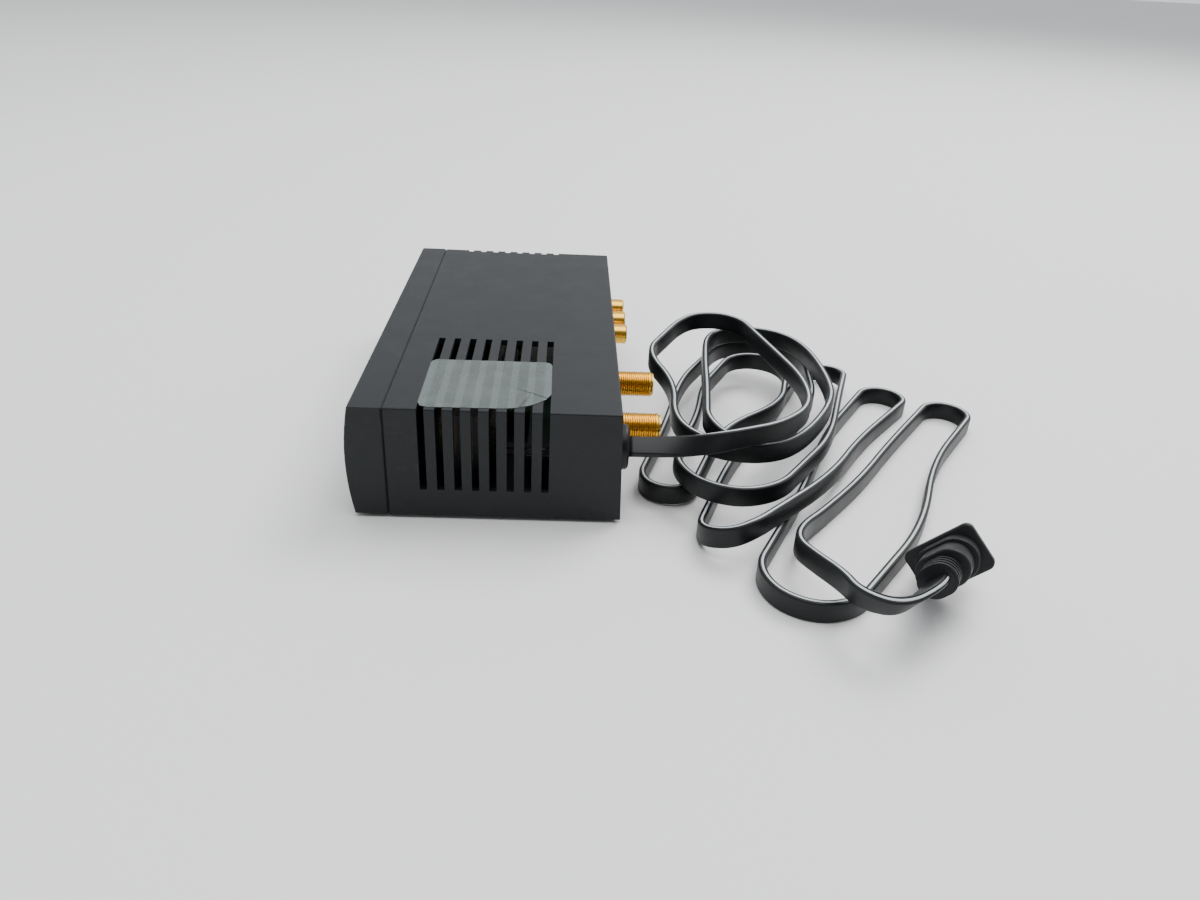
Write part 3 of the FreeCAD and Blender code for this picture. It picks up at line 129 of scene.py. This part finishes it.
# Creases of the film: where each starts and ends, their half width and height, and the share of
# their length over which they are whole
FILM_CREASES = (
    ((0.0735, 0.0128), (0.064, -0.002)),
    ((0.0815, 0.0042), (0.066, 0.0095)),
)
CREASE_WIDTH = 0.0006
CREASE_HEIGHT = 0.0006
CREASE_WHOLE = 0.3

# Noise lies mostly between these values
NOISE_LOW = 0.3
NOISE_HIGH = 0.7

# Scales of noise, per metre: slow patches of handling, uneven gloss, marks on metal, rubbed marks
# on the case, clouds in the film, tracks of the board, and the core's sheets along each axis
PATCH_SCALE = 38
GLOSS_SCALE = 90
MARK_SCALE = 900
RUB_SCALE = 45
CLOUD_SCALE = 120
TRACK_SCALE = 160
SHEET_SCALE = (4, 2200, 4)
# How much rougher or smoother a moulding is from place to place
GLOSS_SPREAD = 0.03

# Stage: half the ground's side, where the lights point, each light's name, place, size and power,
# the walls' colour, and the way along X and the strength where they are brightest and dimmest
GROUND_REACH = 6.0
LIGHT_AIM = Vector((0, 0.05, 0.02))
LIGHTS = (
    ("key", (-0.9, 0.9, 1.6), 1.3, 32),
    ("top", (0.2, 0.0, 1.8), 1.6, 22),
)
WALL_COLOUR = (0.92, 0.94, 0.96)
WALL_BRIGHT = (-0.9, 1.08)
WALL_DIM = (0.8, 0.20)


# Materials
def principled(name, colour, roughness, metallic=0.0, specular=0.5):
    """A material, and its shader."""
    material = bpy.data.materials.new(name)
    material.use_nodes = True
    shader = material.node_tree.nodes["Principled BSDF"]
    shader.inputs["Base Color"].default_value = (*colour, 1)
    shader.inputs["Roughness"].default_value = roughness
    shader.inputs["Metallic"].default_value = metallic
    shader.inputs["Specular IOR Level"].default_value = specular
    return material, shader


def noise(material, scale, detail=3.0, roughness=0.55, stretch=None):
    """Noise in the object's own metres; stretch is the scale along each axis."""
    tree = material.node_tree
    place = tree.nodes.new("ShaderNodeTexCoord")
    texture = tree.nodes.new("ShaderNodeTexNoise")
    texture.inputs["Scale"].default_value = scale
    texture.inputs["Detail"].default_value = detail
    texture.inputs["Roughness"].default_value = roughness
    source = place.outputs["Object"]
    if stretch:
        mapping = tree.nodes.new("ShaderNodeMapping")
        mapping.inputs["Scale"].default_value = stretch
        tree.links.new(source, mapping.inputs["Vector"])
        source = mapping.outputs["Vector"]
    tree.links.new(source, texture.inputs["Vector"])
    return texture.outputs["Fac"]


def ramp(material, factor, low, high, start=NOISE_LOW, end=NOISE_HIGH):
    """Colour ramp between two colours."""
    node = material.node_tree.nodes.new("ShaderNodeValToRGB")
    node.color_ramp.elements[0].position = start
    node.color_ramp.elements[1].position = end
    node.color_ramp.elements[0].color = (*low, 1)
    node.color_ramp.elements[1].color = (*high, 1)
    material.node_tree.links.new(factor, node.inputs["Fac"])
    return node.outputs["Color"]


def spread(material, factor, low, high):
    """Maps a noise's usual values onto a range."""
    node = material.node_tree.nodes.new("ShaderNodeMapRange")
    node.inputs["From Min"].default_value = NOISE_LOW
    node.inputs["From Max"].default_value = NOISE_HIGH
    node.inputs["To Min"].default_value = low
    node.inputs["To Max"].default_value = high
    material.node_tree.links.new(factor, node.inputs["Value"])
    return node.outputs["Result"]


def bump(material, shader, height, distance):
    """Adds a height to the shader's normal, on top of one already there."""
    tree = material.node_tree
    node = tree.nodes.new("ShaderNodeBump")
    node.inputs["Distance"].default_value = distance
    node.inputs["Strength"].default_value = 1.0
    if shader.inputs["Normal"].is_linked:
        tree.links.new(shader.inputs["Normal"].links[0].from_socket, node.inputs["Normal"])
    tree.links.new(height, node.inputs["Height"])
    tree.links.new(node.outputs["Normal"], shader.inputs["Normal"])


def moulded(name, colour, roughness, grain=2600, depth=0.00004, patch=0.06, specular=0.5):
    """Fine-textured moulding: grain, slow patches of handling and slightly uneven gloss."""
    material, shader = principled(name, colour, roughness, specular=specular)
    bump(material, shader, noise(material, grain, 2.0), depth)
    patches = noise(material, PATCH_SCALE, 4.0)
    darker = [channel * (1 - patch) for channel in colour]
    lighter = [channel * (1 + patch) for channel in colour]
    link = material.node_tree.links.new
    link(ramp(material, patches, darker, lighter), shader.inputs["Base Color"])
    uneven = noise(material, GLOSS_SCALE, 5.0)
    gloss = spread(material, uneven, roughness - GLOSS_SPREAD, roughness + GLOSS_SPREAD)
    link(gloss, shader.inputs["Roughness"])
    return material


def crease(material, start, end):
    """1 along a straight line between two places on a level piece, falling to 0 beside it."""
    tree = material.node_tree
    place = tree.nodes.new("ShaderNodeTexCoord")
    mapping = tree.nodes.new("ShaderNodeMapping")
    mapping.vector_type = "TEXTURE"
    along = end - start
    mapping.inputs["Location"].default_value = (*start, 0)
    mapping.inputs["Rotation"].default_value = (0, 0, math.atan2(along.y, along.x))
    axes = tree.nodes.new("ShaderNodeSeparateXYZ")
    tree.links.new(place.outputs["Object"], mapping.inputs["Vector"])
    tree.links.new(mapping.outputs["Vector"], axes.inputs["Vector"])
    off = tree.nodes.new("ShaderNodeMath")
    off.operation = "ABSOLUTE"
    tree.links.new(axes.outputs["Y"], off.inputs[0])
    height = tree.nodes.new("ShaderNodeMapRange")
    height.inputs["From Max"].default_value = CREASE_WIDTH
    height.inputs["To Min"].default_value = 1.0
    height.inputs["To Max"].default_value = 0.0
    tree.links.new(off.outputs["Value"], height.inputs["Value"])
    ends = tree.nodes.new("ShaderNodeMapRange")
    ends.interpolation_type = "SMOOTHSTEP"
    ends.inputs["From Min"].default_value = along.length
    ends.inputs["From Max"].default_value = along.length * CREASE_WHOLE
    tree.links.new(axes.outputs["X"], ends.inputs["Value"])
    both = tree.nodes.new("ShaderNodeMath")
    both.operation = "MULTIPLY"
    tree.links.new(height.outputs["Result"], both.inputs[0])
    tree.links.new(ends.outputs["Result"], both.inputs[1])
    return both.outputs["Value"]


def metal(name, colour, roughness, brushed=None, patch=0.08, mark_depth=0.00001):
    """Metal with fine marks, along one axis where it is brushed."""
    material, shader = principled(name, colour, roughness, metallic=1.0)
    marks = noise(material, MARK_SCALE, 3.0, stretch=brushed)
    darker = [channel * (1 - patch) for channel in colour]
    link = material.node_tree.links.new
    link(ramp(material, marks, darker, colour), shader.inputs["Base Color"])
    link(spread(material, marks, roughness * 0.8, roughness * 1.3), shader.inputs["Roughness"])
    bump(material, shader, marks, mark_depth)
    return material


def case_plastic():
    """Charcoal moulding with a few faint rubbed marks."""
    colour = (0.0105, 0.0128, 0.0150)
    material = moulded("case_plastic", colour, 0.46, specular=0.27)
    tree = material.node_tree
    base = tree.nodes["Principled BSDF"].inputs["Base Color"]
    rubbed = tree.nodes.new("ShaderNodeMix")
    rubbed.data_type = "RGBA"
    marks = spread(material, noise(material, RUB_SCALE, 8.0, 0.7), -0.9, 0.5)
    tree.links.new(marks, rubbed.inputs["Factor"])
    tree.links.new(base.links[0].from_socket, rubbed.inputs["A"])
    rubbed.inputs["B"].default_value = (0.030, 0.033, 0.036, 1)
    tree.links.new(rubbed.outputs["Result"], base)
    return material


def soft_vinyl(name, colour, roughness):
    """Satin vinyl or rubber."""
    return moulded(name, colour, roughness, grain=1400, depth=0.00002, patch=0.10, specular=0.27)


def gold_plate():
    """Smooth gold-coloured plating."""
    return metal("gold_plate", (0.84, 0.50, 0.07), 0.24, patch=0.03, mark_depth=0.000002)


def board_green():
    """Solder mask over copper tracks, its green darkened to near black as painted shade inside the
    case.
    """
    material, shader = principled("board_green", (0.03, 0.16, 0.06), 0.35)
    tree = material.node_tree
    place = tree.nodes.new("ShaderNodeTexCoord")
    tracks = tree.nodes.new("ShaderNodeTexVoronoi")
    tracks.distance = "MANHATTAN"
    tracks.inputs["Scale"].default_value = TRACK_SCALE
    tree.links.new(place.outputs["Object"], tracks.inputs["Vector"])
    distance = tracks.outputs["Distance"]
    # Painted shade: the board's mask and tracks are far darker than its own green, so the case's
    # inside looks shaded through the slots.
    colour = ramp(material, distance, (0.004, 0.016, 0.008), (0.008, 0.032, 0.016), 0.35, 0.42)
    tree.links.new(colour, shader.inputs["Base Color"])
    bump(material, shader, distance, 0.00002)
    return material


def iron_core():
    """Stacked laminations under varnish."""
    material, shader = principled("core_iron", (0.05, 0.045, 0.045), 0.5, metallic=0.6)
    sheets = noise(material, 1.0, 0.0, stretch=SHEET_SCALE)
    bump(material, shader, sheets, 0.0001)
    colour = ramp(material, sheets, (0.03, 0.028, 0.028), (0.09, 0.08, 0.075))
    material.node_tree.links.new(colour, shader.inputs["Base Color"])
    return material


def film():
    """Frosted see-through film with two creases near its rear corner."""
    material, shader = principled("clear_film", (0.20, 0.245, 0.235), 0.34)
    clouds = noise(material, CLOUD_SCALE, 4.0)
    veil = spread(material, clouds, 0.46, 0.58)
    material.node_tree.links.new(veil, shader.inputs["Alpha"])
    bump(material, shader, clouds, 0.0001)
    for start, end in FILM_CREASES:
        fold = crease(material, Vector(start), Vector(end))
        bump(material, shader, fold, CREASE_HEIGHT)
    return material


def stripe_white():
    """The cord's pale stripe."""
    return moulded("cord_stripe", (0.60, 0.66, 0.69), 0.42, grain=1400, depth=0.00001)


MATERIALS = {
    "case_plastic": case_plastic(),
    "foot_rubber": soft_vinyl("foot_rubber", (0.018, 0.018, 0.018), 0.75),
    "cord_rubber": soft_vinyl("cord_rubber", (0.0085, 0.0095, 0.0105), 0.40),
    "plug_vinyl": soft_vinyl("plug_vinyl", (0.018, 0.019, 0.021), 0.45),
    "blade_metal": metal("blade_metal", (0.80, 0.70, 0.46), 0.28),
    "screw_steel": metal("screw_steel", (0.55, 0.55, 0.55), 0.35),
    "board_green": board_green(),
    "tin_plate": metal("tin_plate", (0.70, 0.70, 0.71), 0.32, brushed=(0.08, 1, 1)),
    "gold_plate": gold_plate(),
    "aerial_dielectric": moulded("aerial_dielectric", (0.72, 0.71, 0.66), 0.45),
    "video_yellow": moulded("video_yellow", (0.80, 0.58, 0.03), 0.30),
    "audio_white": moulded("audio_white", (0.80, 0.80, 0.77), 0.30),
    "audio_red": moulded("audio_red", (0.62, 0.025, 0.02), 0.30),
    "socket_black": moulded("socket_black", (0.018, 0.018, 0.020), 0.45),
    "switch_steel": metal("switch_steel", (0.62, 0.62, 0.62), 0.35),
    "core_iron": iron_core(),
    # The winding tape's near-black colour is painted shade: it is darkened far below its own
    # colour so that the case's inside looks shaded through the slots.
    "winding_tape": moulded("winding_tape", (0.030, 0.026, 0.018), 0.45, grain=500, depth=0.0001),
    "capacitor_sleeve": moulded("capacitor_sleeve", (0.02, 0.05, 0.15), 0.28),
    "sink_aluminium": metal("sink_aluminium", (0.78, 0.79, 0.80), 0.38, brushed=(1, 1, 0.08)),
    "lamp_red": moulded("lamp_red", (0.55, 0.02, 0.015), 0.20),
    "clear_film": film(),
    "lead_insulation": soft_vinyl("lead_insulation", (0.025, 0.025, 0.025), 0.45),
}
for part in frame["record"]["subparts"]:
    node = nodes[part["node"]]
    node.data.materials.clear()
    node.data.materials.append(MATERIALS[part["material_slot"]])


# Camera
def make_camera():
    """Camera where the photograph's was."""
    camera = bpy.data.objects.new("camera", bpy.data.cameras.new("camera"))
    collection.objects.link(camera)
    back = CAMERA_RIGHT.cross(CAMERA_UP)
    turn = Matrix((CAMERA_RIGHT, CAMERA_UP, back)).transposed()
    camera.matrix_world = Matrix.Translation(CAMERA_PLACE) @ turn.to_4x4()
    camera.data.sensor_width = SENSOR
    camera.data.lens = LENS
    camera.data.clip_start = 0.01
    scene.camera = camera


make_camera()


# Cord
def shoulder(corner, towards, reach):
    """A point on a long side, as far from the bend's last point as that is from the one before."""
    run = towards - corner
    return [corner + run.normalized() * reach] if run.length > LONG_RUN * reach else []


def loop_points():
    """The loops' control points: four round each bend, its shoulders and two on the side after."""
    centres = [Vector((bend[0], bend[1], 0)) for bend in BENDS]
    outward = []
    for index, centre in enumerate(centres):
        near = centres[max(index - 1, 0):index] + centres[index + 1:index + 2]
        middle = sum(near, Vector((0, 0, 0))) / len(near)
        outward.append((centre - middle).normalized())
    across = [Vector((-direction.y, direction.x, 0)) for direction in outward]
    points = []
    before = Vector(LEAD[-1])
    for index, bend in enumerate(BENDS):
        half, start, end, level_one, level_two, bulge_one, bulge_two = bend[2:]
        reach = 2 * half * math.tan(BEND_STEP)
        radius = half / math.cos(BEND_STEP)
        turn_points = []
        for step, turn in enumerate(BEND_TURNS):
            point = centres[index] + outward[index] * (radius * math.cos(turn * BEND_STEP))
            point += across[index] * (radius * math.sin(turn * BEND_STEP))
            point.z = FLOOR_LAYER + LAYER * (start + (end - start) * step / 3)
            turn_points.append(point)
        side_points = []
        if index + 1 < len(BENDS):
            leave = centres[index] + across[index] * half
            arrive = centres[index + 1] - across[index + 1] * BENDS[index + 1][2]
            run = arrive - leave
            side = Vector((run.y, -run.x, 0))
            first = (1 / 3, bulge_one, level_one)
            second = (2 / 3, bulge_two, level_two)
            for share, bulge, level in (first, second):
                point = leave + run * share + side * bulge
                point.z = FLOOR_LAYER + LAYER * level
                side_points.append(point)
        after = side_points[0] if side_points else Vector(TAIL[0])
        points += shoulder(turn_points[0], before, reach) + turn_points
        points += shoulder(turn_points[-1], after, reach) + side_points
        before = points[-1]
    return points


def spline_line(name, points):
    """Points along the smooth curve that the control points make."""
    curve = bpy.data.curves.new(name, "CURVE")
    curve.dimensions = "3D"
    spline = curve.splines.new("NURBS")
    spline.points.add(len(points) - 1)
    for target, point in zip(spline.points, points):
        target.co = (*point, 1)
    spline.order_u = 3
    spline.use_endpoint_u = True
    spline.resolution_u = CORD_STEPS
    thing = bpy.data.objects.new(name, curve)
    collection.objects.link(thing)
    bpy.context.view_layer.update()
    mesh = bpy.data.meshes.new_from_object(thing)
    line = [mesh.vertices[0].co.copy()]
    for vertex in mesh.vertices:
        if (vertex.co - line[-1]).length > LEAST_STEP:
            line.append(vertex.co.copy())
    bpy.data.objects.remove(thing)
    bpy.data.curves.remove(curve)
    bpy.data.meshes.remove(mesh)
    return line


def smooth(share):
    """0 to 1 with a level start and end."""
    share = min(max(share, 0.0), 1.0)
    return share * share * (3 - 2 * share)


def cord_profile():
    """Outline of the flat cord, across its width and its thickness, its striped edge first."""
    wide, thick = CORD_WIDTH / 2, CORD_THICKNESS / 2
    inner = thick - CORD_ROUND
    near_stripe = STRIPE_WIDTH / 2 + 2 * STRIPE_GROOVE
    points = [
        (wide, -STRIPE_WIDTH / 2),
        (wide, 0),
        (wide, STRIPE_WIDTH / 2),
        (wide - STRIPE_GROOVE, STRIPE_WIDTH / 2 + STRIPE_GROOVE),
    ]
    corners = ((1, 1, 0), (-1, 1, 1), (-1, -1, 2), (1, -1, 3))
    for side_wide, side_thick, quarter in corners:
        middle = (side_wide * (wide - CORD_ROUND), side_thick * inner)
        for step in range(EDGE_POINTS):
            angle = math.radians(90 * quarter + EDGE_STEP * step)
            point = (
                middle[0] + CORD_ROUND * math.cos(angle),
                middle[1] + CORD_ROUND * math.sin(angle),
            )
            if side_wide > 0 and abs(point[1]) < near_stripe:
                continue
            points.append(point)
    points.append((wide - STRIPE_GROOVE, -STRIPE_WIDTH / 2 - STRIPE_GROOVE))
    return points


def make_cord():
    """Flat cord on its edge, with a pale stripe along the upper edge."""
    level = math.cos(PLUG_TILT)
    axis = Vector((math.cos(PLUG_TURN) * level, math.sin(PLUG_TURN) * level, math.sin(PLUG_TILT)))
    plug_end = PLUG_CENTRE + axis * BOSS_REACH
    lead = [Vector(CORD_START)] + [Vector(point) for point in LEAD]
    tail = [Vector(point) for point in TAIL] + [plug_end + axis * PLUG_RUN, plug_end]
    line = spline_line("cord_line", lead + loop_points() + tail)
    runs = [0.0]
    for one, two in zip(line, line[1:]):
        runs.append(runs[-1] + (two - one).length)
    whole = runs[-1]
    profile = cord_profile()
    count = len(profile)
    mesh = bmesh.new()
    rings = []
    for index, point in enumerate(line):
        along = (line[min(index + 1, len(line) - 1)] - line[max(index - 1, 0)]).normalized()
        turn = FLAT_TURN * (1 - smooth((runs[index] - FLAT_LENGTH) / TWIST_LENGTH))
        turn += PLUG_TWIST * smooth(1 - (whole - runs[index]) / PLUG_TWIST_LENGTH)
        up = (Vector((0, 0, 1)) - along * along.z).normalized()
        side = along.cross(up)
        wide = up * math.cos(turn) + side * math.sin(turn)
        thin = along.cross(wide)
        rings.append([mesh.verts.new(point + wide * a + thin * b) for a, b in profile])
    for one, two in zip(rings, rings[1:]):
        for index in range(count):
            after = (index + 1) % count
            face = mesh.faces.new((one[index], one[after], two[after], two[index]))
            face.material_index = 1 if index in STRIPE_FACES else 0
            face.smooth = True
    mesh.faces.new(rings[0][::-1])
    mesh.faces.new(rings[-1])
    bmesh.ops.recalc_face_normals(mesh, faces=mesh.faces)
    data = bpy.data.meshes.new("power_cord")
    mesh.to_mesh(data)
    mesh.free()
    data.materials.append(MATERIALS["cord_rubber"])
    data.materials.append(stripe_white())
    cord = bpy.data.objects.new("power_cord", data)
    collection.objects.link(cord)
    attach(cord, "case")
    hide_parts("power_cord_lead", "power_cord_coil", "power_cord_tail")


make_cord()


# Stage
def make_floor():
    """Pale ground."""
    data = bpy.data.meshes.new("floor")
    corners = [
        (-GROUND_REACH, -GROUND_REACH, 0),
        (GROUND_REACH, -GROUND_REACH, 0),
        (GROUND_REACH, GROUND_REACH, 0),
        (-GROUND_REACH, GROUND_REACH, 0),
    ]
    data.from_pydata(corners, [], [(0, 1, 2, 3)])
    data.materials.append(principled("floor", (0.95, 0.953, 0.955), 0.6, specular=0.2)[0])
    floor = bpy.data.objects.new("floor", data)
    collection.objects.link(floor)


def make_light(name, place, size, power):
    """Round soft light."""
    light = bpy.data.lights.new(name, "AREA")
    light.shape = "DISK"
    light.size = size
    light.energy = power
    thing = bpy.data.objects.new(name, light)
    thing.location = place
    thing.rotation_euler = (Vector(place) - LIGHT_AIM).to_track_quat("Z", "Y").to_euler()
    collection.objects.link(thing)


def make_world():
    """Pale studio walls that are bright behind the case and dim on the cord's side."""
    world = bpy.data.worlds.new("studio")
    world.use_nodes = True
    tree = world.node_tree
    back = tree.nodes["Background"]
    direction = tree.nodes.new("ShaderNodeTexCoord")
    axes = tree.nodes.new("ShaderNodeSeparateXYZ")
    fade = tree.nodes.new("ShaderNodeMapRange")
    fade.inputs["From Min"].default_value = WALL_BRIGHT[0]
    fade.inputs["From Max"].default_value = WALL_DIM[0]
    fade.inputs["To Min"].default_value = WALL_BRIGHT[1]
    fade.inputs["To Max"].default_value = WALL_DIM[1]
    tree.links.new(direction.outputs["Generated"], axes.inputs["Vector"])
    tree.links.new(axes.outputs["X"], fade.inputs["Value"])
    tree.links.new(fade.outputs["Result"], back.inputs["Strength"])
    back.inputs["Color"].default_value = (*WALL_COLOUR, 1)
    scene.world = world


make_floor()
make_world()
for light in LIGHTS:
    make_light(*light)
